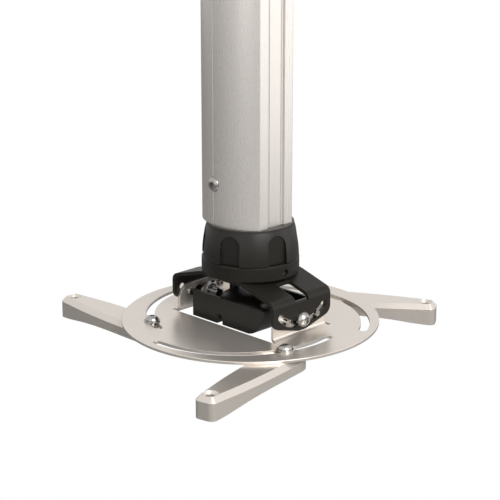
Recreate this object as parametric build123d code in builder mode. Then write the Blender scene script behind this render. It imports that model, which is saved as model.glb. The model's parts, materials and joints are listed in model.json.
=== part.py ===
from build123d import *

import os
from math import atan2, cos, degrees, hypot, radians, sin, sqrt, tan

# Ceiling mount for a projector: a barrel-section column under a ceiling plate, a swivel collar,
# a tilting yoke, and a round plate on whose three arc slots the support arms travel.
# Frame: origin in the middle of the ceiling face, +Z up, X along the tilt axis.

# Ceiling plate
CEILING_PLATE_DIA = 150.0
CEILING_PLATE_THK = 5.0
CEILING_BOLT_PCD = 124.0
CEILING_BOLT_COUNT = 4
CEILING_BOLT_HOLE = 7.0
PLATE_EDGE_CHAMFER = 1.0
PLATE_SCREW_Y = 12.0
PLATE_SCREW_DIA = 6.0
PLATE_SCREW_HEAD_DIA = 11.0
PLATE_SCREW_LENGTH = 22.0
PLATE_SCREW_SOCKET = 4.0

# Column: two convex broad faces, two narrow flat sides with a recessed cable cover in each
COLUMN_LENGTH = 300.0
COLUMN_OFFSET_X = -3.4
COLUMN_HALF_LENGTH = 26.5
COLUMN_HALF_DEPTH = 25.7
COLUMN_FACE_RADIUS = 37.5
COLUMN_WALL = 2.8
COLUMN_EDGE_RADIUS = 0.8
CHANNEL_MOUTH = 15.0
CHANNEL_LIP = 2.4
CHANNEL_WIDTH = 20.0
CHANNEL_DEPTH = 9.0
CHANNEL_WALL = 2.0
STRIP_RECESS = 1.2
STRIP_THK = 1.6
STRIP_PLAY = 0.15
STRIP_WING = 1.2
STRIP_GROOVE = 0.8
STRIP_GROOVE_INSET = 2.2
GUIDE_GROOVE_X = 4.5
GUIDE_GROOVE_WIDTH = 1.0
GUIDE_GROOVE_DEPTH = 0.5

# Plugs in the two ends of the column and the screws that hold them
PLUG_HEIGHT = 44.0
PLUG_PLAY = 0.2
PLUG_CAVITY = 15.0
PLUG_SCREW_HEIGHT = 27.0
PLUG_SCREW_DIA = 5.0
PLUG_SCREW_HEAD_DIA = 9.5
PLUG_SCREW_HEAD_HEIGHT = 2.6
PLUG_SCREW_LENGTH = 14.0
PLUG_SCREW_SOCKET = 3.0
PLUG_SCREW_SOCKET_DEPTH = 1.6
PLUG_SEAT_SINK = 0.9

# Collar under the column, with six arched flutes
COLLAR_HEIGHT = 23.0
COLLAR_TOP_RADIUS = 28.4
COLLAR_NECK_RADIUS = 30.8
COLLAR_SKIRT_RADIUS = 32.0
COLLAR_NECK_DROP = 10.0
FLUTE_COUNT = 6
FLUTE_PHASE = -10.8
FLUTE_WIDTH = 13.8
FLUTE_HEIGHT = 19.0
FLUTE_DEPTH = 3.2
SPIGOT_RADIUS = 18.0
SPIGOT_DEPTH = 8.0

# Swivel ring with its grub screw, and the bolt down the swivel axis
SWIVEL_GAP = 0.3
RING_HEIGHT = 10.1
RING_RADIUS = 32.0
RING_SPIGOT_PLAY = 0.1
GRUB_DIA = 5.0
GRUB_TIP_GAP = 0.1
GRUB_SINK = 2.5
GRUB_HEIGHT = 4.2
GRUB_CHAMFER = 0.4
GRUB_SOCKET_AF = 2.5
GRUB_SOCKET_DEPTH = 3.0
RING_CHAMFER = 0.8
SWIVEL_BOLT_DIA = 10.0
SWIVEL_BOLT_PLAY = 0.1
SWIVEL_HEAD_AF = 16.0
SWIVEL_HEAD_HEIGHT = 6.4
SWIVEL_NUT_HEIGHT = 6.0
SWIVEL_WASHER_DIA = 20.0
SWIVEL_WASHER_THK = 1.6

# Yoke: one folded strip, flat on top, sloping arms and two upright flanges
YOKE_THK = 2.3
YOKE_HALF_WIDTH = 26.5
YOKE_FLANGE_X = 47.0
YOKE_SLOPE = 16.5
YOKE_DROP = 8.0
YOKE_FLANGE_HEIGHT = 30.5
YOKE_BEND_RADIUS = 5.3
YOKE_TOP_BEND_RADIUS = 12.0
YOKE_FOOT_HALF = 3.5
YOKE_FOOT_SLOPE = 15.5
YOKE_FOOT_CORNER = 6.0
YOKE_WINDOW_HALF = 6.2
YOKE_WINDOW_INNER_X = 29.0
YOKE_WINDOW_SILL = 21.5
YOKE_SCREW_DIA = 4.0
YOKE_SCREW_HEAD_DIA = 7.5
YOKE_SCREW_LENGTH = 8.0
YOKE_SCREW_RADIUS = 25.0
YOKE_SCREW_ANGLES = (60.0, 120.0, 240.0, 300.0)
YOKE_SCREW_SOCKET = 2.5
YOKE_SINK_DEPTH = (YOKE_SCREW_HEAD_DIA - YOKE_SCREW_DIA) / 2
YOKE_WINDOW_CORNER = 2.0

# Tilt: the plate rolls on an arc about an axis just above the top of the yoke
TILT_AXIS_RISE = 1.5
TILT_RANGE = 15.0
PLATE_TO_TILT_AXIS = 34.5
TILT_BOLT_HEIGHT = 9.7
TILT_BOLT_DIA = 6.0
TILT_BOLT_PLAY = 0.2
TILT_HEAD_DIA = 10.4
TILT_HEAD_HEIGHT = 4.2
TILT_SOCKET_AF = 4.0
TILT_WASHER_DIA = 9.0
TILT_WASHER_THK = 1.2
TILT_NUT_AF = 10.0
TILT_NUT_HEIGHT = 5.0
GUIDE_PIN_Y = 13.7
GUIDE_PIN_HEIGHT = 10.5
GUIDE_PIN_DIA = 4.0
GUIDE_PIN_PLAY = 0.4
GUIDE_PIN_PROUD = 0.8
GUIDE_PIN_HEAD_DIA = 5.0
GUIDE_PIN_HEAD_THK = 1.2
GUIDE_PIN_BORE = 2.2
GUIDE_PIN_BORE_DEPTH = 4.0
TILT_SOCKET_DEPTH = 2.4
TILT_BOLT_END = 7.0
TILT_SLOT_SPARE = 0.6

# Round plate with a window, two upturned tabs and three eccentric arc slots
PLATE_RADIUS = 85.0
PLATE_THK = 2.0
PLATE_EDGE_RADIUS = 0.4
WINDOW_HALF_WIDTH = 26.5
TAB_HALF_WIDTH = 24.0
TAB_OUTER_X = 44.5
TAB_HEIGHT = 17.0
TAB_CORNER_RADIUS = 10.0
TAB_BEND_RADIUS = 2.0
RELIEF_REACH = 1.2
SLOT_COUNT = 3
SLOT_RADIUS = 70.1
SLOT_CENTRE_OFFSET = 8.76
SLOT_CENTRE_ANGLE = -127.7
SLOT_START = -90.7
SLOT_END = 10.8
SLOT_WIDTH = 5.8

# Arms under the plate; each has its own place along its slot and its own heading
ARM_LENGTH = 80.7
ARM_ROOT_RADIUS = 13.0
ARM_SHOULDER_X = 30.0
ARM_SHOULDER_HALF_WIDTH = 12.5
ARM_WAIST_X = 60.0
ARM_WAIST_HALF_WIDTH = 10.5
ARM_TIP_HALF_WIDTH = 7.0
ARM_TIP_OVERHANG = 7.4
ARM_TIP_CORNER = 4.4
ARM_ROOT_HEIGHT = 9.3
ARM_WAIST_HEIGHT = 11.2
ARM_TIP_HEIGHT = 14.5
ARM_TOP_CHAMFER = 3.2
ARM_TIP_HOLE = 6.5
ARM_TIP_SINK_DIA = 9.6
ARM_SLOT_ANGLES = (-19.3, -0.3, -15.3)
ARM_HEADINGS = (-79.1, 179.7, 32.5)
ARM_TURNS = (0.0, -120.0, 120.0)
ARM_SCREW_DIA = 5.0
ARM_SCREW_PLAY = 0.08
ARM_HEAD_DIA = 8.8
ARM_HEAD_HEIGHT = 2.8
ARM_WASHER_DIA = 10.6
ARM_WASHER_THK = 1.0
ARM_NUT_AF = 8.0
ARM_NUT_HEIGHT = 4.0
ARM_NUT_SINK = 0.6
ARM_NUT_PLAY = 0.05
ARM_THREAD_PLAY = 0.1
ARM_SOCKET_AF = 3.0
ARM_SOCKET_DEPTH = 1.6

# Moulded cover under the yoke: a cable trough with a dome under the swivel nut
TROUGH_LEFT_X = -32.0
TROUGH_RIGHT_X = 34.5
TROUGH_FOOT_X = 20.0
TROUGH_HALF_WIDTH = 22.0
TROUGH_WALL = 2.0
TROUGH_BOTTOM = -1.5
TROUGH_RIM = 16.5
DOME_RADIUS = 21.0
DOME_EAVES = 9.0
DOME_TOP = 18.0
BOLT_NOTCH_PLAY = 1.0
BOLT_NOTCH_DEPTH = 12.0
POST_X = 15.0
POST_DIA = 6.6
COVER_SCREW_DIA = 3.0
COVER_SCREW_HEAD_DIA = 5.4
COVER_SCREW_HEAD_DEPTH = 1.6
COVER_SCREW_SOCKET_AF = 2.0
NOTCH_X = -6.5
NOTCH_WIDTH = 5.0
NOTCH_HEIGHT = 6.5

# Heights worked out from the ceiling downwards
COLUMN_TOP = -CEILING_PLATE_THK
COLUMN_BOTTOM = COLUMN_TOP - COLUMN_LENGTH
COLLAR_BOTTOM = COLUMN_BOTTOM - COLLAR_HEIGHT
RING_TOP = COLLAR_BOTTOM - SWIVEL_GAP
YOKE_TOP = RING_TOP - RING_HEIGHT
YOKE_UNDERSIDE = YOKE_TOP - YOKE_THK
TILT_AXIS_Z = YOKE_TOP + TILT_AXIS_RISE
PLATE_TOP = TILT_AXIS_Z - PLATE_TO_TILT_AXIS
PLATE_UNDERSIDE = PLATE_TOP - PLATE_THK
TILT_BOLT_Z = PLATE_TOP + TILT_BOLT_HEIGHT
GUIDE_PIN_Z = PLATE_TOP + GUIDE_PIN_HEIGHT
YOKE_CORNER_Z = YOKE_TOP - YOKE_DROP
YOKE_FOOT_Z = YOKE_TOP - YOKE_FLANGE_HEIGHT
YOKE_KNEE_X = YOKE_FLANGE_X - YOKE_DROP / tan(radians(YOKE_SLOPE))
TAB_INNER_X = TAB_OUTER_X - PLATE_THK
PIN_TRACK_RADIUS = hypot(GUIDE_PIN_Y, TILT_AXIS_Z - GUIDE_PIN_Z)
PIN_TRACK_ANGLE = degrees(atan2(GUIDE_PIN_Y, TILT_AXIS_Z - GUIDE_PIN_Z))
BOLT_TRACK_RADIUS = TILT_AXIS_Z - TILT_BOLT_Z
COLUMN_SCREW_Z = COLUMN_BOTTOM + PLUG_SCREW_HEIGHT
CEILING_SCREW_Z = COLUMN_TOP - PLUG_SCREW_HEIGHT
SPIGOT_BOTTOM = COLLAR_BOTTOM - SPIGOT_DEPTH
FACE_CENTRE_Y = COLUMN_FACE_RADIUS - COLUMN_HALF_DEPTH
GROOVE_Y = sqrt(COLUMN_FACE_RADIUS**2 - GUIDE_GROOVE_X**2) - FACE_CENTRE_Y
PLUG_SEAT_Y = GROOVE_Y - PLUG_SEAT_SINK
NUT_TOP = YOKE_UNDERSIDE - SWIVEL_WASHER_THK
YOKE_SCREW_PLACES = [
    (YOKE_SCREW_RADIUS * cos(radians(angle)), YOKE_SCREW_RADIUS * sin(radians(angle)))
    for angle in YOKE_SCREW_ANGLES
]

os.makedirs("parts", exist_ok=True)


def save(builder, name):
    builder.part.label = name
    export_step(builder.part, f"parts/{name}.step")


def barrel(shrink=0.0):
    """Outline of the column in plan, moved inwards by shrink, about its own middle."""
    half_length = COLUMN_HALF_LENGTH - shrink
    radius = COLUMN_FACE_RADIUS - shrink
    half_flat = sqrt(radius**2 - half_length**2) - FACE_CENTRE_Y
    mid = COLUMN_HALF_DEPTH - shrink
    with BuildSketch(mode=Mode.PRIVATE) as outline:
        with BuildLine():
            ThreePointArc((-half_length, half_flat), (0, mid), (half_length, half_flat))
            Line((half_length, half_flat), (half_length, -half_flat))
            ThreePointArc((half_length, -half_flat), (0, -mid), (-half_length, -half_flat))
            Line((-half_length, -half_flat), (-half_length, half_flat))
        make_face()
    return outline.sketch


def channel_outline(extra=0.0):
    """The two cable channels in plan, grown outwards by extra, about the column's middle."""
    depth = CHANNEL_DEPTH + extra
    with BuildSketch(mode=Mode.PRIVATE) as outline:
        for side in (-1, 1):
            with Locations((side * (COLUMN_HALF_LENGTH - depth / 2), 0)):
                Rectangle(depth, CHANNEL_WIDTH + 2 * extra)
    return outline.sketch


def slot_centre(index):
    turn = radians(SLOT_CENTRE_ANGLE + ARM_TURNS[index])
    return (SLOT_CENTRE_OFFSET * cos(turn), SLOT_CENTRE_OFFSET * sin(turn))


def arm_pivot(index):
    centre_x, centre_y = slot_centre(index)
    turn = radians(ARM_SLOT_ANGLES[index] + ARM_TURNS[index])
    return (centre_x + SLOT_RADIUS * cos(turn), centre_y + SLOT_RADIUS * sin(turn))


# Ceiling plate with its socket for the column
with BuildPart() as ceiling_plate:
    with BuildSketch(Plane.XY.offset(-CEILING_PLATE_THK)):
        Circle(CEILING_PLATE_DIA / 2)
        with PolarLocations(CEILING_BOLT_PCD / 2, CEILING_BOLT_COUNT, 45):
            Circle(CEILING_BOLT_HOLE / 2, mode=Mode.SUBTRACT)
    extrude(amount=CEILING_PLATE_THK)
    chamfer(ceiling_plate.faces().sort_by(Axis.Z)[0].outer_wire().edges(), PLATE_EDGE_CHAMFER)
    with Locations((COLUMN_OFFSET_X, 0, 0)):
        with GridLocations(0, 2 * PLATE_SCREW_Y, 1, 2):
            CounterSinkHole(PLATE_SCREW_DIA / 2, PLATE_SCREW_HEAD_DIA / 2, CEILING_PLATE_THK)
save(ceiling_plate, "ceiling_plate")


def countersunk_screw(head_dia, shank_dia, length, socket_af):
    """Flat-head screw along -Z with the top of its head at the origin."""
    head_height = (head_dia - shank_dia) / 2
    with BuildPart() as screw:
        with BuildSketch(Plane.XZ):
            with BuildLine():
                Polyline(
                    (0, 0), (head_dia / 2, 0), (shank_dia / 2, -head_height),
                    (shank_dia / 2, -length + 0.5), (shank_dia / 2 - 0.5, -length), (0, -length),
                    close=True,
                )
            make_face()
        revolve(axis=Axis.Z)
        with BuildSketch():
            RegularPolygon(socket_af / 2, 6, major_radius=False)
        extrude(amount=-head_height, mode=Mode.SUBTRACT)
    return screw.part


# Two screws that hold the upper plug against the ceiling plate
flat_screw = countersunk_screw(
    PLATE_SCREW_HEAD_DIA, PLATE_SCREW_DIA, PLATE_SCREW_LENGTH, PLATE_SCREW_SOCKET
)
with BuildPart() as ceiling_plate_screws:
    with Locations((COLUMN_OFFSET_X, -PLATE_SCREW_Y, 0), (COLUMN_OFFSET_X, PLATE_SCREW_Y, 0)):
        add(flat_screw)
save(ceiling_plate_screws, "ceiling_plate_screws")


# Plans shared by the column and its plugs
column_outline = barrel()
column_bore = barrel(COLUMN_WALL)
channel_walls = channel_outline(CHANNEL_WALL) & column_outline
channel_room = channel_outline() & barrel(CHANNEL_LIP)
plug_outline = barrel(COLUMN_WALL + PLUG_PLAY) - channel_outline(CHANNEL_WALL + PLUG_PLAY)


# Solid plug that fills one end of the column; its screws enter through the broad faces
def column_plug(bottom, screw_z):
    with BuildPart() as plug:
        with BuildSketch(Plane.XY.offset(bottom)):
            with Locations((COLUMN_OFFSET_X, 0)):
                add(plug_outline)
        extrude(amount=PLUG_HEIGHT)
        for side in (-1, 1):
            screw_x = COLUMN_OFFSET_X + side * GUIDE_GROOVE_X
            face = Plane(origin=(screw_x, side * COLUMN_HALF_DEPTH, screw_z), z_dir=(0, side, 0))
            with BuildSketch(face):
                Circle(PLUG_SCREW_DIA / 2)
            extrude(amount=-PLUG_SCREW_LENGTH - PLUG_PLAY, mode=Mode.SUBTRACT)
    return plug.part


# The upper plug is bored for the ceiling plate's screws
with BuildPart() as ceiling_plug:
    add(column_plug(COLUMN_TOP - PLUG_HEIGHT, CEILING_SCREW_Z))
    with BuildSketch(Plane.XY.offset(COLUMN_TOP)):
        with Locations((COLUMN_OFFSET_X, -PLATE_SCREW_Y), (COLUMN_OFFSET_X, PLATE_SCREW_Y)):
            Circle(PLATE_SCREW_DIA / 2)
    extrude(amount=-PLATE_SCREW_LENGTH + CEILING_PLATE_THK, mode=Mode.SUBTRACT)
save(ceiling_plug, "ceiling_plug")

# The lower plug has a hexagon pocket and a bore for the swivel bolt
with BuildPart() as lower_plug:
    add(column_plug(COLUMN_BOTTOM, COLUMN_SCREW_Z))
    with BuildSketch(Plane.XY.offset(COLUMN_BOTTOM)):
        Circle(SWIVEL_BOLT_DIA / 2)
    extrude(amount=PLUG_HEIGHT, mode=Mode.SUBTRACT)
    with BuildSketch(Plane.XY.offset(COLUMN_BOTTOM + PLUG_CAVITY)):
        RegularPolygon(SWIVEL_HEAD_AF / 2 + PLUG_PLAY, 6, major_radius=False)
    extrude(amount=PLUG_HEIGHT - PLUG_CAVITY, mode=Mode.SUBTRACT)
save(lower_plug, "column_plug")


# Column: hollow extrusion with a cable channel in each narrow side
with BuildPart() as column:
    with BuildSketch(Plane.XY.offset(COLUMN_BOTTOM)):
        with Locations((COLUMN_OFFSET_X, 0)):
            add(column_outline)
            add(column_bore, mode=Mode.SUBTRACT)
            add(channel_walls)
            add(channel_room, mode=Mode.SUBTRACT)
            for side in (-1, 1):
                with Locations((side * COLUMN_HALF_LENGTH, 0)):
                    Rectangle(2 * CHANNEL_LIP + 1, CHANNEL_MOUTH, mode=Mode.SUBTRACT)
    extrude(amount=COLUMN_LENGTH)
    vertical_edges = column.edges().filter_by(Axis.Z)
    corners = [
        edge for edge in vertical_edges
        if abs(abs(edge.center().X - COLUMN_OFFSET_X) - COLUMN_HALF_LENGTH) < 0.01
        and abs(edge.center().Y) > CHANNEL_WIDTH / 2 + CHANNEL_WALL
    ]
    fillet(corners, COLUMN_EDGE_RADIUS)
    for side in (-1, 1):
        groove_x = COLUMN_OFFSET_X + side * GUIDE_GROOVE_X
        with BuildSketch(Plane.XY.offset(COLUMN_BOTTOM)):
            with Locations((groove_x, side * GROOVE_Y)):
                Rectangle(GUIDE_GROOVE_WIDTH, 2 * GUIDE_GROOVE_DEPTH, rotation=45)
        extrude(amount=COLUMN_LENGTH, mode=Mode.SUBTRACT)
        for screw_z in (COLUMN_SCREW_Z, CEILING_SCREW_Z):
            seat = Plane(origin=(groove_x, side * PLUG_SEAT_Y, screw_z), z_dir=(0, side, 0))
            with BuildSketch(seat):
                Circle(PLUG_SCREW_HEAD_DIA / 2 + PLUG_PLAY)
            extrude(amount=COLUMN_WALL, mode=Mode.SUBTRACT)
            with BuildSketch(seat):
                Circle(PLUG_SCREW_DIA / 2 + PLUG_PLAY)
            extrude(amount=-2 * COLUMN_WALL, mode=Mode.SUBTRACT)
save(column, "column")


# Snap-in cover strip of each cable channel, set back from the lips
def cable_cover(side):
    face_x = COLUMN_OFFSET_X + side * (COLUMN_HALF_LENGTH - STRIP_RECESS)
    with BuildPart() as strip:
        with BuildSketch(Plane.XY.offset(COLUMN_BOTTOM)):
            with Locations((face_x - side * STRIP_THK / 2, 0)):
                Rectangle(STRIP_THK, CHANNEL_MOUTH - 2 * STRIP_PLAY)
            wing_depth = CHANNEL_LIP - STRIP_RECESS + STRIP_PLAY + STRIP_WING / 2
            with Locations((face_x - side * wing_depth, 0)):
                Rectangle(STRIP_WING, CHANNEL_WIDTH - 2 * STRIP_PLAY)
            for edge in (-1, 1):
                with Locations((face_x, edge * (CHANNEL_MOUTH / 2 - STRIP_GROOVE_INSET))):
                    Rectangle(STRIP_GROOVE, STRIP_GROOVE, mode=Mode.SUBTRACT)
        extrude(amount=COLUMN_LENGTH)
    return strip


save(cable_cover(1), "cable_cover_front")
save(cable_cover(-1), "cable_cover_rear")


# Button-head screw with a hexagon socket, built along +Z with its head seat at the origin
def button_screw(head_dia, head_height, shank_dia, shank_length, socket_af, socket_depth):
    rim = head_height * 0.25
    with BuildPart() as screw:
        with BuildSketch(Plane.XZ):
            with BuildLine():
                Line((0, 0), (head_dia / 2, 0))
                Line((head_dia / 2, 0), (head_dia / 2, rim))
                ThreePointArc(
                    (head_dia / 2, rim),
                    (head_dia * 0.38, head_height * 0.78),
                    (socket_af * 0.65, head_height),
                )
                Line((socket_af * 0.65, head_height), (0, head_height))
                Line((0, head_height), (0, 0))
            make_face()
        revolve(axis=Axis.Z)
        with BuildSketch(Plane.XY):
            Circle(shank_dia / 2)
        extrude(amount=-shank_length)
        chamfer(screw.faces().sort_by(Axis.Z)[0].edges(), shank_dia * 0.08)
        with BuildSketch(Plane.XY.offset(head_height)):
            RegularPolygon(socket_af / 2, 6, major_radius=False)
        extrude(amount=-socket_depth, mode=Mode.SUBTRACT)
    return screw.part


def hex_nut(across_flats, height, bore):
    """Nut standing on the origin, with both faces chamfered to a circle."""
    with BuildPart() as nut:
        with BuildSketch():
            RegularPolygon(across_flats / 2, 6, major_radius=False)
            Circle(bore / 2, mode=Mode.SUBTRACT)
        extrude(amount=height)
        with BuildSketch(Plane.XZ):
            with BuildLine():
                crown = across_flats * 0.075
                half = across_flats / 2
                Polyline(
                    (0, 0), (half * 0.95, 0), (half * 1.16, crown), (half * 1.16, height - crown),
                    (half * 0.95, height), (0, height), close=True,
                )
            make_face()
        revolve(axis=Axis.Z, mode=Mode.INTERSECT)
    return nut.part


# Two plug screws at each end of the column
def plug_screws(name, screw_z):
    screw = button_screw(
        PLUG_SCREW_HEAD_DIA, PLUG_SCREW_HEAD_HEIGHT, PLUG_SCREW_DIA, PLUG_SCREW_LENGTH - 1,
        PLUG_SCREW_SOCKET, PLUG_SCREW_SOCKET_DEPTH,
    )
    with BuildPart() as screws:
        for side in (-1, 1):
            seat = Plane(
                origin=(COLUMN_OFFSET_X + side * GUIDE_GROOVE_X, side * PLUG_SEAT_Y, screw_z),
                z_dir=(0, side, 0),
            )
            with Locations(seat.location):
                add(screw)
    save(screws, name)


plug_screws("column_screws", COLUMN_SCREW_Z)
plug_screws("ceiling_screws", CEILING_SCREW_Z)


# Collar: turned body with a hub below it, and arched flutes round the skirt
with BuildPart() as collar:
    with BuildSketch(Plane.XZ):
        with BuildLine():
            Line((SWIVEL_BOLT_DIA / 2, COLUMN_BOTTOM), (COLLAR_TOP_RADIUS, COLUMN_BOTTOM))
            neck = (COLLAR_NECK_RADIUS, COLUMN_BOTTOM - COLLAR_NECK_DROP)
            Line((COLLAR_TOP_RADIUS, COLUMN_BOTTOM), (COLLAR_TOP_RADIUS + 0.3, COLUMN_BOTTOM - 1.5))
            ThreePointArc(
                (COLLAR_TOP_RADIUS + 0.3, COLUMN_BOTTOM - 1.5),
                neck,
                (COLLAR_SKIRT_RADIUS, COLLAR_BOTTOM),
            )
            Line((COLLAR_SKIRT_RADIUS, COLLAR_BOTTOM), (SPIGOT_RADIUS, COLLAR_BOTTOM))
            Line((SPIGOT_RADIUS, COLLAR_BOTTOM), (SPIGOT_RADIUS, SPIGOT_BOTTOM))
            Line((SPIGOT_RADIUS, SPIGOT_BOTTOM), (SWIVEL_BOLT_DIA / 2, SPIGOT_BOTTOM))
            Line((SWIVEL_BOLT_DIA / 2, SPIGOT_BOTTOM), (SWIVEL_BOLT_DIA / 2, COLUMN_BOTTOM))
        make_face()
    revolve(axis=Axis.Z)
    for index in range(FLUTE_COUNT):
        turn = FLUTE_PHASE + index * 360 / FLUTE_COUNT
        outward = (cos(radians(turn)), sin(radians(turn)), 0)
        floor_radius = COLLAR_SKIRT_RADIUS - FLUTE_DEPTH
        foot = (outward[0] * floor_radius, outward[1] * floor_radius, COLLAR_BOTTOM)
        flute_plane = Plane(origin=foot, x_dir=(-outward[1], outward[0], 0), z_dir=outward)
        with BuildSketch(flute_plane):
            with Locations((0, (FLUTE_HEIGHT - FLUTE_WIDTH / 2) / 2)):
                Rectangle(FLUTE_WIDTH, FLUTE_HEIGHT - FLUTE_WIDTH / 2)
            with Locations((0, FLUTE_HEIGHT - FLUTE_WIDTH / 2)):
                Circle(FLUTE_WIDTH / 2)
        extrude(amount=FLUTE_DEPTH + 3, mode=Mode.SUBTRACT)
save(collar, "collar")


# Swivel ring below the collar, closed by a floor under the hub and tapped for the yoke's screws
with BuildPart() as swivel_ring:
    with BuildSketch(Plane.XY.offset(YOKE_TOP)):
        Circle(RING_RADIUS)
    extrude(amount=RING_HEIGHT)
    chamfer(swivel_ring.edges().filter_by(GeomType.CIRCLE), RING_CHAMFER)
    with BuildSketch(Plane.XY.offset(SPIGOT_BOTTOM - RING_SPIGOT_PLAY)):
        Circle(SPIGOT_RADIUS + RING_SPIGOT_PLAY)
    extrude(amount=RING_HEIGHT, mode=Mode.SUBTRACT)
    with BuildSketch(Plane.XY.offset(YOKE_TOP)):
        Circle(SWIVEL_BOLT_DIA / 2 + SWIVEL_BOLT_PLAY)
        with Locations(*YOKE_SCREW_PLACES):
            Circle(YOKE_SCREW_DIA / 2)
    extrude(amount=YOKE_SCREW_LENGTH - YOKE_THK, mode=Mode.SUBTRACT)
    with BuildSketch(Plane.YZ.offset(RING_RADIUS)):
        with Locations((0, YOKE_TOP + GRUB_HEIGHT)):
            Circle(GRUB_DIA / 2)
    extrude(amount=-(RING_RADIUS - SPIGOT_RADIUS), mode=Mode.SUBTRACT)
save(swivel_ring, "swivel_ring")

# Grub screw in the ring's side, just short of the hub
with BuildPart() as grub_screw:
    with BuildSketch(Plane.YZ.offset(SPIGOT_RADIUS + GRUB_TIP_GAP)):
        with Locations((0, YOKE_TOP + GRUB_HEIGHT)):
            Circle(GRUB_DIA / 2)
    extrude(amount=RING_RADIUS - GRUB_SINK - SPIGOT_RADIUS - GRUB_TIP_GAP)
    chamfer(grub_screw.edges().filter_by(GeomType.CIRCLE), GRUB_CHAMFER)
    with BuildSketch(Plane.YZ.offset(RING_RADIUS - GRUB_SINK)):
        with Locations((0, YOKE_TOP + GRUB_HEIGHT)):
            RegularPolygon(GRUB_SOCKET_AF / 2, 6, major_radius=False)
    extrude(amount=-GRUB_SOCKET_DEPTH, mode=Mode.SUBTRACT)
save(grub_screw, "grub_screw")


# Swivel bolt, washer and nut on the swivel axis
with BuildPart() as swivel_bolt:
    with BuildSketch(Plane.XY.offset(COLUMN_BOTTOM + PLUG_CAVITY)):
        RegularPolygon(SWIVEL_HEAD_AF / 2, 6, major_radius=False)
    extrude(amount=SWIVEL_HEAD_HEIGHT)
    with BuildSketch(Plane.XY.offset(COLUMN_BOTTOM + PLUG_CAVITY)):
        Circle(SWIVEL_BOLT_DIA / 2)
    extrude(amount=-(COLUMN_BOTTOM + PLUG_CAVITY - NUT_TOP + SWIVEL_NUT_HEIGHT + 1.5))
    chamfer(swivel_bolt.faces().sort_by(Axis.Z)[0].edges(), 0.8)
save(swivel_bolt, "swivel_bolt")

with BuildPart() as swivel_washer:
    with BuildSketch(Plane.XY.offset(NUT_TOP)):
        Circle(SWIVEL_WASHER_DIA / 2)
        Circle(SWIVEL_BOLT_DIA / 2 + SWIVEL_BOLT_PLAY, mode=Mode.SUBTRACT)
    extrude(amount=SWIVEL_WASHER_THK)
save(swivel_washer, "swivel_washer")

with BuildPart() as swivel_nut:
    with Locations((0, 0, NUT_TOP - SWIVEL_NUT_HEIGHT)):
        add(hex_nut(SWIVEL_HEAD_AF, SWIVEL_NUT_HEIGHT, SWIVEL_BOLT_DIA))
save(swivel_nut, "swivel_nut")


# Curved slot in the Y-Z plane about the tilt axis; angles are from straight down
def tilt_track(radius, mid_angle, half_sweep, width):
    path = CenterArc((0, TILT_AXIS_Z), radius, mid_angle - half_sweep - 90, 2 * half_sweep)
    with BuildSketch(mode=Mode.PRIVATE) as track:
        SlotArc(path, width)
    return track.sketch


half_travel = TILT_RANGE + TILT_SLOT_SPARE
pin_track_width = GUIDE_PIN_DIA + 2 * GUIDE_PIN_PLAY
pin_tracks = [
    tilt_track(PIN_TRACK_RADIUS, side * PIN_TRACK_ANGLE, half_travel, pin_track_width)
    for side in (-1, 1)
]
bolt_track = tilt_track(BOLT_TRACK_RADIUS, 0, half_travel, TILT_BOLT_DIA + 2 * TILT_BOLT_PLAY)


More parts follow.
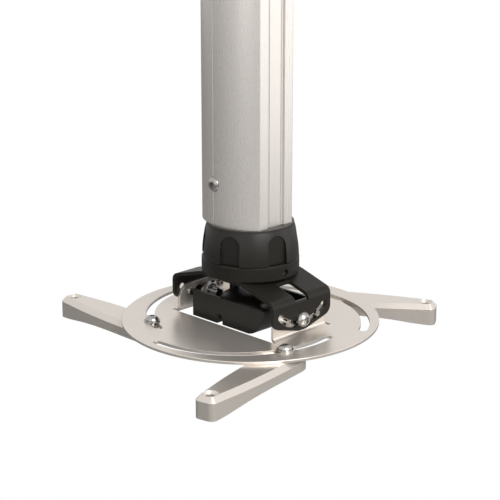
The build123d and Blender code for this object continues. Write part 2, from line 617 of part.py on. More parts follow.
# Yoke: the folded section is drawn as one line and given its thickness
with BuildPart() as yoke:
    with BuildSketch(Plane.XZ):
        with BuildLine():
            outer = FilletPolyline(
                (YOKE_FLANGE_X, YOKE_FOOT_Z),
                (YOKE_FLANGE_X, YOKE_CORNER_Z),
                (YOKE_KNEE_X, YOKE_TOP),
                (-YOKE_KNEE_X, YOKE_TOP),
                (-YOKE_FLANGE_X, YOKE_CORNER_Z),
                (-YOKE_FLANGE_X, YOKE_FOOT_Z),
                radius=(YOKE_BEND_RADIUS, YOKE_TOP_BEND_RADIUS, YOKE_TOP_BEND_RADIUS, YOKE_BEND_RADIUS),
            )
            offset(outer, amount=YOKE_THK, side=Side.LEFT)
        make_face()
    extrude(amount=YOKE_HALF_WIDTH, both=True)
    # outline of the flanges, seen along X
    foot_rise = (YOKE_HALF_WIDTH - YOKE_FOOT_HALF) * tan(radians(YOKE_FOOT_SLOPE))
    with BuildSketch(Plane.YZ):
        with BuildLine():
            FilletPolyline(
                (-YOKE_HALF_WIDTH, YOKE_TOP + 1),
                (-YOKE_HALF_WIDTH, YOKE_FOOT_Z + foot_rise),
                (-YOKE_FOOT_HALF, YOKE_FOOT_Z),
                (YOKE_FOOT_HALF, YOKE_FOOT_Z),
                (YOKE_HALF_WIDTH, YOKE_FOOT_Z + foot_rise),
                (YOKE_HALF_WIDTH, YOKE_TOP + 1),
                radius=(YOKE_FOOT_CORNER, 0, 0, YOKE_FOOT_CORNER),
            )
            Line((YOKE_HALF_WIDTH, YOKE_TOP + 1), (-YOKE_HALF_WIDTH, YOKE_TOP + 1))
        make_face()
    extrude(amount=YOKE_FLANGE_X + 1, both=True, mode=Mode.INTERSECT)
    # tracks for the guide pins and holes for the tilt bolts
    with BuildSketch(Plane.YZ):
        for track in pin_tracks:
            add(track)
        with Locations((0, TILT_BOLT_Z)):
            Circle(TILT_BOLT_DIA / 2)
    extrude(amount=YOKE_FLANGE_X + 1, both=True, mode=Mode.SUBTRACT)
    # windows in the sloping arms
    window_length = YOKE_FLANGE_X + 1 - YOKE_WINDOW_INNER_X
    with BuildSketch(Plane.XY.offset(PLATE_TOP + YOKE_WINDOW_SILL)):
        with GridLocations(2 * YOKE_WINDOW_INNER_X + window_length, 0, 2, 1):
            RectangleRounded(window_length, 2 * YOKE_WINDOW_HALF, YOKE_WINDOW_CORNER)
    extrude(amount=YOKE_FLANGE_HEIGHT, mode=Mode.SUBTRACT)
    # holes on the flat top
    with Locations((0, 0, YOKE_TOP)):
        Hole(SWIVEL_BOLT_DIA / 2 + SWIVEL_BOLT_PLAY, depth=2 * YOKE_THK)
    with Locations((-POST_X, 0, YOKE_TOP), (POST_X, 0, YOKE_TOP)):
        Hole(COVER_SCREW_DIA / 2, depth=2 * YOKE_THK)
    with BuildSketch(Plane.XY.offset(YOKE_UNDERSIDE)):
        with Locations(*YOKE_SCREW_PLACES):
            Circle(YOKE_SCREW_HEAD_DIA / 2)
    sink_taper = degrees(atan2(YOKE_SCREW_HEAD_DIA - YOKE_SCREW_DIA, 2 * YOKE_SINK_DEPTH))
    extrude(amount=YOKE_SINK_DEPTH, taper=sink_taper, mode=Mode.SUBTRACT)
    with BuildSketch(Plane.XY.offset(YOKE_UNDERSIDE)):
        with Locations(*YOKE_SCREW_PLACES):
            Circle(YOKE_SCREW_DIA / 2)
    extrude(amount=2 * YOKE_THK, mode=Mode.SUBTRACT)
save(yoke, "yoke")

# Four flat-head screws from below the yoke into the swivel ring
yoke_screw = countersunk_screw(YOKE_SCREW_HEAD_DIA, YOKE_SCREW_DIA, YOKE_SCREW_LENGTH, YOKE_SCREW_SOCKET)
with BuildPart() as yoke_screws:
    for place in YOKE_SCREW_PLACES:
        with Locations(Location((place[0], place[1], YOKE_UNDERSIDE), (180, 0, 0))):
            add(yoke_screw)
save(yoke_screws, "yoke_screws")


# Tilt bolt, washer and nut through each flange of the yoke and each tab of the plate
tilt_bolt_length = YOKE_FLANGE_X - TAB_INNER_X + TILT_WASHER_THK + TILT_NUT_HEIGHT + TILT_BOLT_END
tilt_bolt = button_screw(
    TILT_HEAD_DIA, TILT_HEAD_HEIGHT, TILT_BOLT_DIA, tilt_bolt_length, TILT_SOCKET_AF, TILT_SOCKET_DEPTH
)
tilt_nut = hex_nut(TILT_NUT_AF, TILT_NUT_HEIGHT, TILT_BOLT_DIA)
for side, end in ((1, "front"), (-1, "rear")):
    seat = Plane(origin=(side * YOKE_FLANGE_X, 0, TILT_BOLT_Z), z_dir=(side, 0, 0))
    with BuildPart() as bolt:
        with Locations(seat.location):
            add(tilt_bolt)
    save(bolt, f"tilt_bolt_{end}")
    with BuildPart() as washer:
        with BuildSketch(Plane(origin=(side * TAB_INNER_X, 0, TILT_BOLT_Z), z_dir=(-side, 0, 0))):
            Circle(TILT_WASHER_DIA / 2)
            Circle(TILT_BOLT_DIA / 2, mode=Mode.SUBTRACT)
        extrude(amount=TILT_WASHER_THK)
    save(washer, f"tilt_washer_{end}")
    nut_seat = Plane(
        origin=(side * (TAB_INNER_X - TILT_WASHER_THK), 0, TILT_BOLT_Z), z_dir=(-side, 0, 0)
    )
    with BuildPart() as nut:
        with Locations(nut_seat.location):
            add(tilt_nut)
    save(nut, f"tilt_nut_{end}")


# Tubular guide pins riveted in the tabs; they run in the curved tracks of the yoke
for side, end in ((1, "front"), (-1, "rear")):
    pin_length = YOKE_FLANGE_X + GUIDE_PIN_PROUD - TAB_INNER_X
    with BuildPart() as pins:
        inner_face = Plane(origin=(side * TAB_INNER_X, 0, GUIDE_PIN_Z), z_dir=(side, 0, 0))
        with BuildSketch(inner_face):
            with GridLocations(0, 2 * GUIDE_PIN_Y, 1, 2):
                Circle(GUIDE_PIN_DIA / 2)
        extrude(amount=pin_length)
        with BuildSketch(inner_face):
            with GridLocations(0, 2 * GUIDE_PIN_Y, 1, 2):
                Circle(GUIDE_PIN_HEAD_DIA / 2)
        extrude(amount=-GUIDE_PIN_HEAD_THK)
        with BuildSketch(inner_face.offset(-GUIDE_PIN_HEAD_THK)):
            with GridLocations(0, 2 * GUIDE_PIN_Y, 1, 2):
                Circle(GUIDE_PIN_BORE / 2)
        extrude(amount=GUIDE_PIN_BORE_DEPTH, mode=Mode.SUBTRACT)
    save(pins, f"guide_pins_{end}")


# Round plate: the window's metal is turned up into two tabs
slot_middles = [slot_centre(index) for index in range(SLOT_COUNT)]
slot_paths = [
    CenterArc(slot_middles[index], SLOT_RADIUS, SLOT_START + ARM_TURNS[index], SLOT_END - SLOT_START)
    for index in range(SLOT_COUNT)
]
bend_x = TAB_OUTER_X + TAB_BEND_RADIUS
relief_width = WINDOW_HALF_WIDTH - TAB_HALF_WIDTH
with BuildPart() as interface_plate:
    with BuildSketch(Plane.XY.offset(PLATE_UNDERSIDE)):
        Circle(PLATE_RADIUS)
        Rectangle(2 * bend_x, 2 * TAB_HALF_WIDTH, mode=Mode.SUBTRACT)
        with GridLocations(0, 2 * TAB_HALF_WIDTH + relief_width, 1, 2):
            Rectangle(2 * (bend_x + RELIEF_REACH), relief_width, mode=Mode.SUBTRACT)
        for path in slot_paths:
            SlotArc(path, SLOT_WIDTH, mode=Mode.SUBTRACT)
    extrude(amount=PLATE_THK)
    outer_rim = interface_plate.edges().filter_by(GeomType.CIRCLE).sort_by(SortBy.RADIUS)[-2:]
    fillet(outer_rim, PLATE_EDGE_RADIUS)
for side in (-1, 1):
    with BuildPart() as tab:
        with BuildSketch(Plane.XZ):
            with BuildLine():
                bend_z = PLATE_TOP + TAB_BEND_RADIUS
                heel = TAB_BEND_RADIUS + PLATE_THK
                Line((side * bend_x, PLATE_UNDERSIDE), (side * bend_x, PLATE_TOP))
                CenterArc(
                    (side * bend_x, bend_z), TAB_BEND_RADIUS, 270, -90 if side > 0 else 90
                )
                Line((side * TAB_OUTER_X, bend_z), (side * TAB_OUTER_X, PLATE_TOP + TAB_HEIGHT))
                Line(
                    (side * TAB_OUTER_X, PLATE_TOP + TAB_HEIGHT),
                    (side * TAB_INNER_X, PLATE_TOP + TAB_HEIGHT),
                )
                Line((side * TAB_INNER_X, PLATE_TOP + TAB_HEIGHT), (side * TAB_INNER_X, bend_z))
                CenterArc((side * bend_x, bend_z), heel, 270, -90 if side > 0 else 90)
            make_face()
        extrude(amount=TAB_HALF_WIDTH, both=True)
        top_corners = tab.edges().filter_by(Axis.X).group_by(Axis.Z)[-1]
        fillet(top_corners, TAB_CORNER_RADIUS)
        with BuildSketch(Plane.YZ):
            add(bolt_track)
            with Locations((-GUIDE_PIN_Y, GUIDE_PIN_Z), (GUIDE_PIN_Y, GUIDE_PIN_Z)):
                Circle(GUIDE_PIN_DIA / 2)
        extrude(amount=YOKE_FLANGE_X, both=True, mode=Mode.SUBTRACT)
    with interface_plate:
        add(tab.part)
save(interface_plate, "interface_plate")


# Support arm: heading +X from its pivot, its top face on the origin plane
def arm_blank():
    tip_x = ARM_LENGTH + ARM_TIP_OVERHANG
    below = 2 * ARM_TIP_HEIGHT
    with BuildPart() as arm:
        with BuildSketch():
            with BuildLine():
                root_arc = ThreePointArc(
                    (0, -ARM_ROOT_RADIUS), (-ARM_ROOT_RADIUS, 0), (0, ARM_ROOT_RADIUS)
                )
                flank = Spline(
                    (0, ARM_ROOT_RADIUS),
                    (ARM_SHOULDER_X, ARM_SHOULDER_HALF_WIDTH),
                    (ARM_WAIST_X, ARM_WAIST_HALF_WIDTH),
                    (tip_x, ARM_TIP_HALF_WIDTH),
                    tangents=((1, 0), (1, -0.12)),
                )
                mirror(flank, about=Plane.XZ)
                Line((tip_x, ARM_TIP_HALF_WIDTH), (tip_x, -ARM_TIP_HALF_WIDTH))
            make_face()
        extrude(amount=-ARM_TIP_HEIGHT)
        tip_corners = arm.edges().filter_by(Axis.Z).group_by(Axis.X)[-1]
        fillet(tip_corners, ARM_TIP_CORNER)
        chamfer(arm.faces().sort_by(Axis.Z)[-1].edges(), ARM_TOP_CHAMFER)
        with BuildSketch(Plane.XZ):
            with BuildLine():
                Line((0, -ARM_ROOT_HEIGHT), (-2 * ARM_ROOT_RADIUS, -ARM_ROOT_HEIGHT))
                Line((-2 * ARM_ROOT_RADIUS, -ARM_ROOT_HEIGHT), (-2 * ARM_ROOT_RADIUS, -below))
                Line((-2 * ARM_ROOT_RADIUS, -below), (tip_x, -below))
                Line((tip_x, -below), (tip_x, -ARM_TIP_HEIGHT))
                Spline(
                    (tip_x, -ARM_TIP_HEIGHT),
                    (ARM_WAIST_X, -ARM_WAIST_HEIGHT),
                    (0, -ARM_ROOT_HEIGHT),
                    tangents=((-1, 0.03), (-1, 0)),
                )
            make_face()
        extrude(amount=2 * ARM_ROOT_RADIUS, both=True, mode=Mode.SUBTRACT)
        with BuildSketch():
            Circle(ARM_SCREW_DIA / 2 + ARM_SCREW_PLAY)
        extrude(amount=-ARM_ROOT_HEIGHT, mode=Mode.SUBTRACT)
        with BuildSketch(Plane.XY.offset(-ARM_ROOT_HEIGHT - 1)):
            RegularPolygon(ARM_NUT_AF / 2 + ARM_NUT_PLAY, 6, major_radius=False)
        extrude(amount=ARM_NUT_HEIGHT + ARM_NUT_SINK + 1, mode=Mode.SUBTRACT)
        with Locations((ARM_LENGTH, 0, 0)):
            CounterSinkHole(ARM_TIP_HOLE / 2, ARM_TIP_SINK_DIA / 2, 2 * ARM_TIP_HEIGHT)
    return arm.part


arm_solid = arm_blank()
arm_screw_length = ARM_WASHER_THK + PLATE_THK + ARM_ROOT_HEIGHT - ARM_NUT_SINK / 2
arm_screw = button_screw(
    ARM_HEAD_DIA, ARM_HEAD_HEIGHT, ARM_SCREW_DIA, arm_screw_length, ARM_SOCKET_AF, ARM_SOCKET_DEPTH
)
arm_nut = hex_nut(ARM_NUT_AF, ARM_NUT_HEIGHT, ARM_SCREW_DIA + ARM_THREAD_PLAY)
for index in range(SLOT_COUNT):
    pivot_x, pivot_y = arm_pivot(index)
    heading = ARM_HEADINGS[index]
    with BuildPart() as arm:
        with Locations(Location((pivot_x, pivot_y, PLATE_UNDERSIDE), (0, 0, heading))):
            add(arm_solid)
    save(arm, f"arm_{index + 1}")
    with BuildPart() as nut:
        nut_z = PLATE_UNDERSIDE - ARM_ROOT_HEIGHT + ARM_NUT_SINK
        with Locations(Location((pivot_x, pivot_y, nut_z), (0, 0, heading))):
            add(arm_nut)
    save(nut, f"arm_nut_{index + 1}")
    with BuildPart() as washer:
        with BuildSketch(Plane.XY.offset(PLATE_TOP)):
            with Locations((pivot_x, pivot_y)):
                Circle(ARM_WASHER_DIA / 2)
                Circle(ARM_SCREW_DIA / 2, mode=Mode.SUBTRACT)
        extrude(amount=ARM_WASHER_THK)
    save(washer, f"arm_washer_{index + 1}")
    with BuildPart() as screw:
        with Locations(Location((pivot_x, pivot_y, PLATE_TOP + ARM_WASHER_THK), (0, 0, heading))):
            add(arm_screw)
    save(screw, f"arm_screw_{index + 1}")


# Side view of the cable trough; inset 0 gives its outside, the wall gives its inside
def trough_profile(inset):
    bottom = PLATE_TOP + TROUGH_BOTTOM + inset
    rim = PLATE_TOP + TROUGH_RIM
    left = TROUGH_LEFT_X - inset
    foot = TROUGH_FOOT_X - inset / 2
    right = TROUGH_RIGHT_X - inset
    with BuildSketch(mode=Mode.PRIVATE) as profile:
        with BuildLine():
            Line((foot, bottom), (left, bottom))
            Line((left, bottom), (left, rim + inset))
            Line((left, rim + inset), (right, rim + inset))
            if inset:
                Line((right, rim + inset), (right, rim))
            Spline((right, rim), (foot, bottom), tangents=((-0.25, -1), (-1, -0.15)))
        make_face()
    return profile.sketch


def dome_profile(inset):
    """Half section of the dome with its axis on the swivel axis."""
    radius = DOME_RADIUS - inset
    bottom = PLATE_TOP + TROUGH_BOTTOM
    eaves = PLATE_TOP + DOME_EAVES - inset / 2
    top = PLATE_TOP + DOME_TOP - inset
    with BuildSketch(mode=Mode.PRIVATE) as profile:
        with BuildLine():
            Line((0, bottom), (radius, bottom))
            Line((radius, bottom), (radius, eaves))
            Spline((radius, eaves), (0, top), tangents=((0, 1), (-1, 0)))
            Line((0, top), (0, bottom))
        make_face()
    return profile.sketch


# Cable trough below the yoke; its dome is open below and holds the two screw posts
trough_outside = trough_profile(0)
trough_inside = trough_profile(TROUGH_WALL)
dome_outside = dome_profile(0)
dome_inside = dome_profile(TROUGH_WALL)
with BuildPart() as cable_trough:
    with BuildSketch(Plane.XZ):
        add(trough_outside)
    extrude(amount=TROUGH_HALF_WIDTH, both=True)
    with BuildSketch(Plane.XZ):
        add(trough_inside)
    extrude(amount=TROUGH_HALF_WIDTH - TROUGH_WALL, both=True, mode=Mode.SUBTRACT)
    with BuildSketch(Plane.XZ):
        add(dome_outside)
    revolve(axis=Axis.Z)
    with BuildSketch(Plane.XZ):
        add(dome_inside)
    revolve(axis=Axis.Z, mode=Mode.SUBTRACT)
    # room for the end of the tilt bolt
    notch_width = TILT_BOLT_DIA + 2 * BOLT_NOTCH_PLAY
    notch_height = TROUGH_RIM - TILT_BOLT_HEIGHT + notch_width / 2
    with BuildSketch(Plane.YZ.offset(TROUGH_RIGHT_X)):
        with Locations((0, PLATE_TOP + TROUGH_RIM - notch_height / 2)):
            Rectangle(notch_width, notch_height)
    extrude(amount=-BOLT_NOTCH_DEPTH, mode=Mode.SUBTRACT)
    with BuildSketch(Plane.XY.offset(PLATE_TOP + TROUGH_BOTTOM)):
        with GridLocations(2 * POST_X, 0, 2, 1):
            Circle(POST_DIA / 2)
    extrude(amount=YOKE_UNDERSIDE - PLATE_TOP - TROUGH_BOTTOM)
    with BuildSketch(Plane.XY.offset(PLATE_TOP + TROUGH_BOTTOM)):
        with GridLocations(2 * POST_X, 0, 2, 1):
            Circle(COVER_SCREW_DIA / 2)
    extrude(amount=YOKE_FLANGE_HEIGHT + TROUGH_WALL, mode=Mode.SUBTRACT)
    with BuildSketch(Plane.XY.offset(PLATE_TOP + TROUGH_BOTTOM)):
        with GridLocations(2 * POST_X, 0, 2, 1):
            Circle(COVER_SCREW_HEAD_DIA / 2)
    extrude(amount=COVER_SCREW_HEAD_DEPTH, mode=Mode.SUBTRACT)
    with BuildSketch(Plane.XZ):
        with Locations((NOTCH_X, PLATE_TOP + TROUGH_BOTTOM + NOTCH_HEIGHT / 2)):
            Rectangle(NOTCH_WIDTH, NOTCH_HEIGHT)
    extrude(amount=TROUGH_HALF_WIDTH, both=True, mode=Mode.SUBTRACT)
save(cable_trough, "cable_trough")

with BuildPart() as trough_screws:
    with BuildSketch(Plane.XY.offset(PLATE_TOP + TROUGH_BOTTOM)):
        with GridLocations(2 * POST_X, 0, 2, 1):
            Circle(COVER_SCREW_HEAD_DIA / 2)
    extrude(amount=COVER_SCREW_HEAD_DEPTH)
    with BuildSketch(Plane.XY.offset(PLATE_TOP + TROUGH_BOTTOM)):
        with GridLocations(2 * POST_X, 0, 2, 1):
            Circle(COVER_SCREW_DIA / 2)
    extrude(amount=YOKE_TOP - PLATE_TOP - TROUGH_BOTTOM)
    with BuildSketch(Plane.XY.offset(PLATE_TOP + TROUGH_BOTTOM)):
        with GridLocations(2 * POST_X, 0, 2, 1):
            RegularPolygon(COVER_SCREW_SOCKET_AF / 2, 6, major_radius=False)
    extrude(amount=COVER_SCREW_HEAD_DEPTH / 2, mode=Mode.SUBTRACT)
save(trough_screws, "trough_screws")
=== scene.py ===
import json
from math import pi, radians

import bmesh
import bpy
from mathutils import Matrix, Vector


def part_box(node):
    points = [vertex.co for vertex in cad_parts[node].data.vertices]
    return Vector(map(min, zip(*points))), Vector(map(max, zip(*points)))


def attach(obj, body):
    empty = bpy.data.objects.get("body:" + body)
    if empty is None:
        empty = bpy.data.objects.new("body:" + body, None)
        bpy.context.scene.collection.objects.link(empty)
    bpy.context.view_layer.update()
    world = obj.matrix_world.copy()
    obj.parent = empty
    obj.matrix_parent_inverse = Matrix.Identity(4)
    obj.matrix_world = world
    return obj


bl_info = {
    "name": "Ceiling projector mount",
    "version": (1, 0, 0),
    "blender": (4, 2, 0),
    "location": "View3D > Sidebar > Mount",
    "description": "Finishes, threads and studio for a ceiling projector mount",
    "category": "Object",
}

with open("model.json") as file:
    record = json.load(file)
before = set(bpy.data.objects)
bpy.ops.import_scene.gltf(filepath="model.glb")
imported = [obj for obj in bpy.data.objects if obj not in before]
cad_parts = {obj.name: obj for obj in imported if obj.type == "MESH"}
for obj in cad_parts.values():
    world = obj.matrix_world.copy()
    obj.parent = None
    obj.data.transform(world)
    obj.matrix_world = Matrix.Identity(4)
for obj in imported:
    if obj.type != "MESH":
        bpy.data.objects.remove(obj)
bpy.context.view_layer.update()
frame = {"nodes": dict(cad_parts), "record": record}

MM = 0.001
WHITE = (1, 1, 1, 1)

# Finishes: noise at NOISE_LOW or below gives the low value, at NOISE_HIGH or above the high one
FINISH_OF_SLOT = {
    "silver_paint": "satin_silver",
    "column_aluminium": "brushed_aluminium",
    "black_paint": "satin_black",
    "black_plastic": "moulded_black",
    "bright_steel": "plain_steel",
}
NOISE_LOW = 0.3
NOISE_HIGH = 0.7
MOTTLE_DETAIL = 2.0
GRAIN_DETAIL = 4.0
NOISE_SHARE = 0.5
GRAIN_HEIGHT = 0.1 * MM

# Threads: widths and start are shares of the pitch
TILT_BOLT_RADIUS = 3 * MM
THREAD_SINK = 0.05 * MM
THREAD_ROOT_HALF = 0.42
THREAD_CREST_HALF = 0.08
THREAD_START = 0.6
STEPS_PER_TURN = 24

# Studio
FLOOR_HEIGHT = -1.0
FLOOR_HALF_SIZE = 6
FLOOR_COLOUR = (0.35, 0.35, 0.35, 1)
FLOOR_ROUGHNESS = 0.9
FLOOR_IN_REFLECTIONS = 0.1
WORLD_STRENGTH = 0.30
WORLD_IN_REFLECTIONS = 0.9
LIGHT_TARGET = (0, 0, -0.25)
KEY_PLACE, KEY_SIZE = (1.5, -0.35, 0.75), (1.2, 1.2)
SIDE_PLACE, SIDE_SIZE = (1.2, 1.2, -0.2), (1.0, 1.0)
FILL_PLACE, FILL_SIZE = (0.5, -1.6, 0.3), (1.0, 1.4)
CAMERA_PLACE = (0.7339, -0.7343, -0.0078)
CAMERA_TURN = (radians(72.98), 0, radians(45))
SENSOR_WIDTH = 36


class MountSettings(bpy.types.PropertyGroup):
    """Sizes of the details that are added to the frame, light powers and lens."""

    thread_pitch: bpy.props.FloatProperty(
        name="Thread pitch", description="Distance from one crest to the next",
        default=1.0 * MM, min=0.3 * MM, max=3 * MM, subtype="DISTANCE", unit="LENGTH",
    )
    thread_depth: bpy.props.FloatProperty(
        name="Thread depth", description="How far a crest stands out of the shank",
        default=0.28 * MM, min=0.05 * MM, max=1 * MM, subtype="DISTANCE", unit="LENGTH",
    )
    edge_radius: bpy.props.FloatProperty(
        name="Edge radius", description="Rounding that the finishes give to every edge",
        default=0.35 * MM, min=0.0, max=2 * MM, subtype="DISTANCE", unit="LENGTH",
    )
    key_power: bpy.props.FloatProperty(
        name="Key light", description="Power of the large soft light", default=38.0, min=0.0,
    )
    fill_power: bpy.props.FloatProperty(
        name="Fill light", description="Power of the soft light on the other side",
        default=3.0, min=0.0,
    )
    side_power: bpy.props.FloatProperty(
        name="Side light", description="Power of the soft light low on the right",
        default=3.0, min=0.0,
    )
    lens: bpy.props.FloatProperty(
        name="Lens", description="Focal length on a 36 mm sensor",
        default=119.6, min=20.0, max=300.0,
    )


# Materials

def link(tree, source, target):
    tree.links.new(source, target)


def object_noise(tree, scale, detail, stretch):
    """Noise in the object's own coordinates; scale is in waves per metre."""
    coordinates = tree.nodes.new("ShaderNodeTexCoord")
    mapping = tree.nodes.new("ShaderNodeMapping")
    mapping.inputs["Scale"].default_value = stretch
    noise = tree.nodes.new("ShaderNodeTexNoise")
    noise.inputs["Scale"].default_value = scale
    noise.inputs["Detail"].default_value = detail
    link(tree, coordinates.outputs["Object"], mapping.inputs["Vector"])
    link(tree, mapping.outputs["Vector"], noise.inputs["Vector"])
    return noise.outputs["Fac"]


def ramp(tree, value, low, high):
    """Colour that runs from low to high with the noise in value."""
    node = tree.nodes.new("ShaderNodeValToRGB")
    node.color_ramp.elements[0].position = NOISE_LOW
    node.color_ramp.elements[0].color = (*low, 1)
    node.color_ramp.elements[1].position = NOISE_HIGH
    node.color_ramp.elements[1].color = (*high, 1)
    link(tree, value, node.inputs["Fac"])
    return node.outputs["Color"]


def spread(tree, value, low, high):
    """Number that runs from low to high with the noise in value."""
    node = tree.nodes.new("ShaderNodeMapRange")
    node.inputs["From Min"].default_value = NOISE_LOW
    node.inputs["From Max"].default_value = NOISE_HIGH
    node.inputs["To Min"].default_value = low
    node.inputs["To Max"].default_value = high
    link(tree, value, node.inputs["Value"])
    return node.outputs["Result"]


def finish(
    name, low, high, *, metallic, rough, mottle, grain, bump, edge,
    stretch=(1, 1, 1), specular=0.5,
):
    """Surface with broad mottling, a fine grain in colour and relief, and softened edges."""
    material = bpy.data.materials.new(name)
    if material.name != name:
        raise RuntimeError(f"the frame already has a material called {name}")
    material.use_nodes = True
    tree = material.node_tree
    shader = tree.nodes["Principled BSDF"]
    shader.inputs["Metallic"].default_value = metallic
    shader.inputs["Specular IOR Level"].default_value = specular
    broad = object_noise(tree, mottle, MOTTLE_DETAIL, stretch)
    fine = object_noise(tree, grain, GRAIN_DETAIL, stretch)
    blend = tree.nodes.new("ShaderNodeMath")
    blend.operation = "MULTIPLY_ADD"
    blend.inputs[1].default_value = NOISE_SHARE
    half = tree.nodes.new("ShaderNodeMath")
    half.operation = "MULTIPLY"
    half.inputs[1].default_value = NOISE_SHARE
    link(tree, broad, half.inputs[0])
    link(tree, fine, blend.inputs[0])
    link(tree, half.outputs[0], blend.inputs[2])
    link(tree, ramp(tree, blend.outputs[0], low, high), shader.inputs["Base Color"])
    link(tree, spread(tree, blend.outputs[0], *rough), shader.inputs["Roughness"])
    soften = tree.nodes.new("ShaderNodeBevel")
    soften.inputs["Radius"].default_value = edge
    relief = tree.nodes.new("ShaderNodeBump")
    relief.inputs["Strength"].default_value = bump
    relief.inputs["Distance"].default_value = GRAIN_HEIGHT
    link(tree, fine, relief.inputs["Height"])
    link(tree, soften.outputs["Normal"], relief.inputs["Normal"])
    link(tree, relief.outputs["Normal"], shader.inputs["Normal"])


def make_finishes(edge):
    """One finish for each material slot of the frame."""
    finish(
        "satin_silver", (0.68, 0.626, 0.571), (0.74, 0.681, 0.621),
        metallic=0.75, rough=(0.26, 0.34), mottle=12, grain=1500, bump=0.2, edge=edge,
    )
    finish(
        "brushed_aluminium", (0.80, 0.757, 0.712), (0.82, 0.776, 0.730),
        metallic=0.7, rough=(0.27, 0.285), mottle=60, grain=1800, bump=0.01, edge=edge,
        stretch=(1, 1, 0.03),
    )
    finish(
        "satin_black", (0.010, 0.0088, 0.0068), (0.015, 0.0132, 0.0104),
        metallic=0.0, rough=(0.36, 0.46), mottle=20, grain=1300, bump=0.35, edge=edge,
        specular=0.20,
    )
    finish(
        "moulded_black", (0.010, 0.0088, 0.0069), (0.014, 0.0124, 0.0098),
        metallic=0.0, rough=(0.30, 0.42), mottle=18, grain=1900, bump=0.4, edge=edge,
        specular=0.30,
    )
    finish(
        "plain_steel", (0.34, 0.33, 0.315), (0.46, 0.45, 0.43),
        metallic=1.0, rough=(0.22, 0.32), mottle=150, grain=1600, bump=0.12, edge=edge * 0.5,
    )


def give(piece, finish_name):
    piece.data.materials.clear()
    piece.data.materials.append(bpy.data.materials[finish_name])


class MOUNT_OT_finishes(bpy.types.Operator):
    """Gives every node of the frame the finish of its material slot"""

    bl_idname = "mount.finishes"
    bl_label = "Finishes"

    def execute(self, context):
        make_finishes(context.scene.mount_settings.edge_radius)
        for entry in frame["record"]["subparts"]:
            give(frame["nodes"][entry["node"]], FINISH_OF_SLOT[entry["material_slot"]])
        return {"FINISHED"}


# Threads on the free ends of the tilt bolts

def piece_from(bm, name, body, slot):
    """Turns a bmesh into a piece that rides on a body and takes a slot's finish."""
    bmesh.ops.recalc_face_normals(bm, faces=bm.faces)
    mesh = bpy.data.meshes.new(name)
    bm.to_mesh(mesh)
    bm.free()
    piece = bpy.data.objects.new(name, mesh)
    bpy.context.scene.collection.objects.link(piece)
    give(piece, FINISH_OF_SLOT[slot])
    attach(piece, body)


def thread_mesh(start, axis, length, radius, pitch, depth):
    """Closed helical ridge round a shank, from start along axis."""
    axis = Vector(axis).normalized()
    outward = axis.orthogonal().normalized()
    middle = Vector(start) + axis * (0.5 * pitch)
    root = radius - THREAD_SINK
    crest = radius + depth
    bm = bmesh.new()
    profile = bm.faces.new([
        bm.verts.new(middle + axis * along + outward * reach)
        for along, reach in (
            (-THREAD_ROOT_HALF * pitch, root), (-THREAD_CREST_HALF * pitch, crest),
            (THREAD_CREST_HALF * pitch, crest), (THREAD_ROOT_HALF * pitch, root),
        )
    ])
    steps = int(STEPS_PER_TURN * (length - pitch) / pitch)
    bmesh.ops.spin(
        bm, geom=[profile, *profile.edges, *profile.verts], cent=middle, axis=axis,
        dvec=axis * (pitch / STEPS_PER_TURN), angle=2 * pi * steps / STEPS_PER_TURN, steps=steps,
    )
    return bm


class MOUNT_OT_threads(bpy.types.Operator):
    """Adds threads to the free ends of the two tilt bolts"""

    bl_idname = "mount.threads"
    bl_label = "Threads"

    def execute(self, context):
        settings = context.scene.mount_settings
        pitch = settings.thread_pitch
        for end, sign in (("front", 1), ("rear", -1)):
            low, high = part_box(f"tilt_bolt_{end}")
            nut_low, nut_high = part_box(f"tilt_nut_{end}")
            middle = (low + high) / 2
            free_x = low.x if sign > 0 else high.x
            nut_x = nut_low.x if sign > 0 else nut_high.x
            length = abs(nut_x - free_x) + pitch
            start = (nut_x + sign * pitch * THREAD_START, middle.y, middle.z)
            bm = thread_mesh(
                start, (-sign, 0, 0), length, TILT_BOLT_RADIUS, pitch, settings.thread_depth
            )
            piece_from(bm, f"tilt_bolt_thread_{end}", "yoke_side", "bright_steel")
        return {"FINISHED"}


# Studio

def white_for_camera(tree, plain, bright, in_reflections):
    """Shows bright to camera and transmission rays, and a share of it to glossy rays."""
    path = tree.nodes.new("ShaderNodeLightPath")
    glossy = tree.nodes.new("ShaderNodeMath")
    glossy.operation = "MULTIPLY"
    glossy.inputs[1].default_value = in_reflections
    seen = tree.nodes.new("ShaderNodeMath")
    seen.operation = "MAXIMUM"
    amount = tree.nodes.new("ShaderNodeMath")
    amount.operation = "MAXIMUM"
    mix = tree.nodes.new("ShaderNodeMixShader")
    link(tree, path.outputs["Is Glossy Ray"], glossy.inputs[0])
    link(tree, path.outputs["Is Camera Ray"], seen.inputs[0])
    link(tree, path.outputs["Is Transmission Ray"], seen.inputs[1])
    link(tree, seen.outputs[0], amount.inputs[0])
    link(tree, glossy.outputs[0], amount.inputs[1])
    link(tree, amount.outputs[0], mix.inputs["Fac"])
    link(tree, plain, mix.inputs[1])
    link(tree, bright, mix.inputs[2])
    return mix.outputs["Shader"]


def area_light(name, place, size, power):
    light = bpy.data.lights.new(name, "AREA")
    light.shape = "RECTANGLE"
    light.size, light.size_y = size
    light.energy = power
    lamp = bpy.data.objects.new(name, light)
    lamp.location = place
    towards = Vector(LIGHT_TARGET) - Vector(place)
    lamp.rotation_euler = towards.to_track_quat("-Z", "Y").to_euler()
    bpy.context.scene.collection.objects.link(lamp)


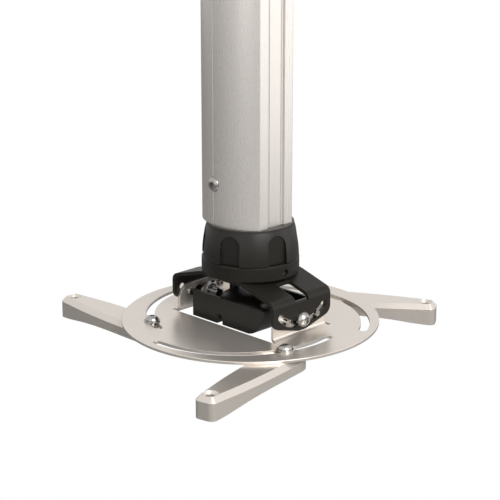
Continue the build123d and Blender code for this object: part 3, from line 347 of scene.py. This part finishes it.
def add_floor(scene):
    bm = bmesh.new()
    bmesh.ops.create_grid(bm, x_segments=1, y_segments=1, size=FLOOR_HALF_SIZE)
    bmesh.ops.translate(bm, vec=(0, 0, FLOOR_HEIGHT), verts=bm.verts)
    mesh = bpy.data.meshes.new("floor")
    bm.to_mesh(mesh)
    bm.free()
    floor = bpy.data.objects.new("floor", mesh)
    scene.collection.objects.link(floor)
    pale = bpy.data.materials.new("floor_white")
    pale.use_nodes = True
    tree = pale.node_tree
    plain = tree.nodes["Principled BSDF"]
    plain.inputs["Base Color"].default_value = FLOOR_COLOUR
    plain.inputs["Roughness"].default_value = FLOOR_ROUGHNESS
    glow = tree.nodes.new("ShaderNodeEmission")
    glow.inputs["Strength"].default_value = 1.0
    shown = white_for_camera(
        tree, plain.outputs["BSDF"], glow.outputs["Emission"], FLOOR_IN_REFLECTIONS
    )
    link(tree, shown, tree.nodes["Material Output"].inputs["Surface"])
    mesh.materials.append(pale)


def add_surroundings(scene):
    world = bpy.data.worlds.new("surroundings")
    scene.world = world
    world.use_nodes = True
    tree = world.node_tree
    plain = tree.nodes["Background"]
    plain.inputs["Color"].default_value = WHITE
    plain.inputs["Strength"].default_value = WORLD_STRENGTH
    bright = tree.nodes.new("ShaderNodeBackground")
    bright.inputs["Color"].default_value = WHITE
    bright.inputs["Strength"].default_value = 1.0
    shown = white_for_camera(
        tree, plain.outputs["Background"], bright.outputs["Background"], WORLD_IN_REFLECTIONS
    )
    link(tree, shown, tree.nodes["World Output"].inputs["Surface"])


def add_camera(scene, lens):
    camera = bpy.data.cameras.new("camera")
    camera.lens = lens
    camera.sensor_width = SENSOR_WIDTH
    seat = bpy.data.objects.new("camera", camera)
    seat.location = CAMERA_PLACE
    seat.rotation_euler = CAMERA_TURN
    scene.collection.objects.link(seat)
    scene.camera = seat


class MOUNT_OT_studio(bpy.types.Operator):
    """Adds the floor, the soft lights, the white surroundings and the camera"""

    bl_idname = "mount.studio"
    bl_label = "Studio"

    def execute(self, context):
        scene = context.scene
        settings = scene.mount_settings
        add_floor(scene)
        add_surroundings(scene)
        area_light("key", KEY_PLACE, KEY_SIZE, settings.key_power)
        area_light("side", SIDE_PLACE, SIDE_SIZE, settings.side_power)
        area_light("fill", FILL_PLACE, FILL_SIZE, settings.fill_power)
        add_camera(scene, settings.lens)
        scene.view_settings.view_transform = "Standard"
        return {"FINISHED"}


class MOUNT_PT_panel(bpy.types.Panel):
    """Settings and steps of the mount"""

    bl_label = "Projector mount"
    bl_idname = "MOUNT_PT_panel"
    bl_space_type = "VIEW_3D"
    bl_region_type = "UI"
    bl_category = "Mount"

    def draw(self, context):
        settings = context.scene.mount_settings
        for name in MountSettings.__annotations__:
            self.layout.prop(settings, name)
        for operator in OPERATORS:
            self.layout.operator(operator.bl_idname)


OPERATORS = (MOUNT_OT_finishes, MOUNT_OT_threads, MOUNT_OT_studio)
CLASSES = (MountSettings, *OPERATORS, MOUNT_PT_panel)


def register():
    for cls in CLASSES:
        bpy.utils.register_class(cls)
    bpy.types.Scene.mount_settings = bpy.props.PointerProperty(type=MountSettings)


def unregister():
    del bpy.types.Scene.mount_settings
    for cls in reversed(CLASSES):
        bpy.utils.unregister_class(cls)


def main():
    register()
    bpy.ops.mount.finishes()
    bpy.ops.mount.threads()
    bpy.ops.mount.studio()


if __name__ == "__main__":
    main()
